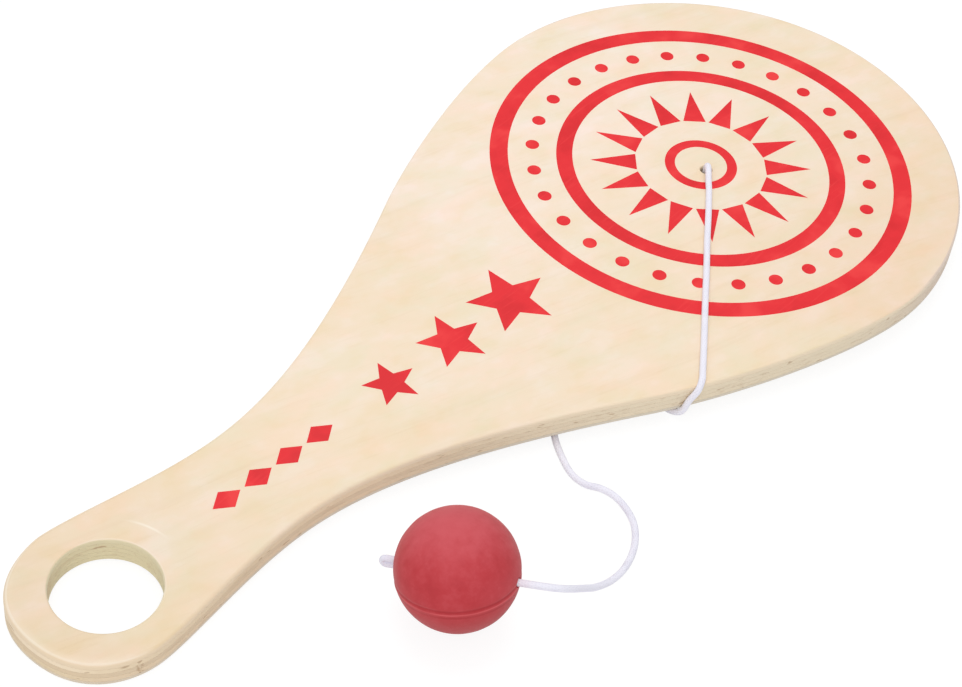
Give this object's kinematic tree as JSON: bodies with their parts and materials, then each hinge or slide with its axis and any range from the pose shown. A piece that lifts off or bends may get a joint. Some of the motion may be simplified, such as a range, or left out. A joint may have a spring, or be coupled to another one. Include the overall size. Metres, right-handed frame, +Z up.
{
  "type": "paddle ball",
  "caption": "Wooden paddle with a rounded blade and a holed handle, and a rubber ball on an elastic cord that comes up through the blade and passes round its edge.",
  "frame": {"origin": "middle of the footprint of paddle and ball, on the ground they lie on", "axes": "+X along the paddle from the handle to the blade's tip, +Y across it away from the ball, +Z up, out of the printed face"},
  "size_m": [0.2764, 0.1318, 0.0261],
  "materials": {
    "face_wood": "sanded birch veneer under a thin clear varnish, printed in red",
    "cross_ply_wood": "cut edge of a cross ply, matt",
    "core_wood": "cut edge of the core ply, matt",
    "back_wood": "sanded veneer, unprinted",
    "elastic": "off-white braided elastic cord over a rubber core",
    "ball_rubber": "solid red moulded rubber, matt"
  },
  "bodies": {
    "paddle": {"face_veneer": "face_wood", "cross_ply_upper": "cross_ply_wood", "core_ply": "core_wood", "cross_ply_lower": "cross_ply_wood", "back_veneer": "back_wood", "elastic_back_knot": "elastic", "elastic_face_run": "elastic", "elastic_free_run": "elastic"},
    "elastic_end": {"elastic_ball_run": "elastic", "elastic_end_knot": "elastic"},
    "ball": {"ball": "ball_rubber"}
  },
  "joints": [
    {"name": "ball_pull", "type": "slide", "parent": "paddle", "child": "elastic_end", "axis": [-0.9466, -0.3224, 0], "range_m": [0, 0.25], "stiffness_N_per_m": 8, "deforming": ["elastic_free_run"]},
    {"name": "ball_spin", "type": "hinge", "parent": "elastic_end", "child": "ball", "pos_m": [-0.06689, -0.04863, 0.01223], "axis": [0.4222, -0.8811, 0.213], "continuous": true}
  ]
}
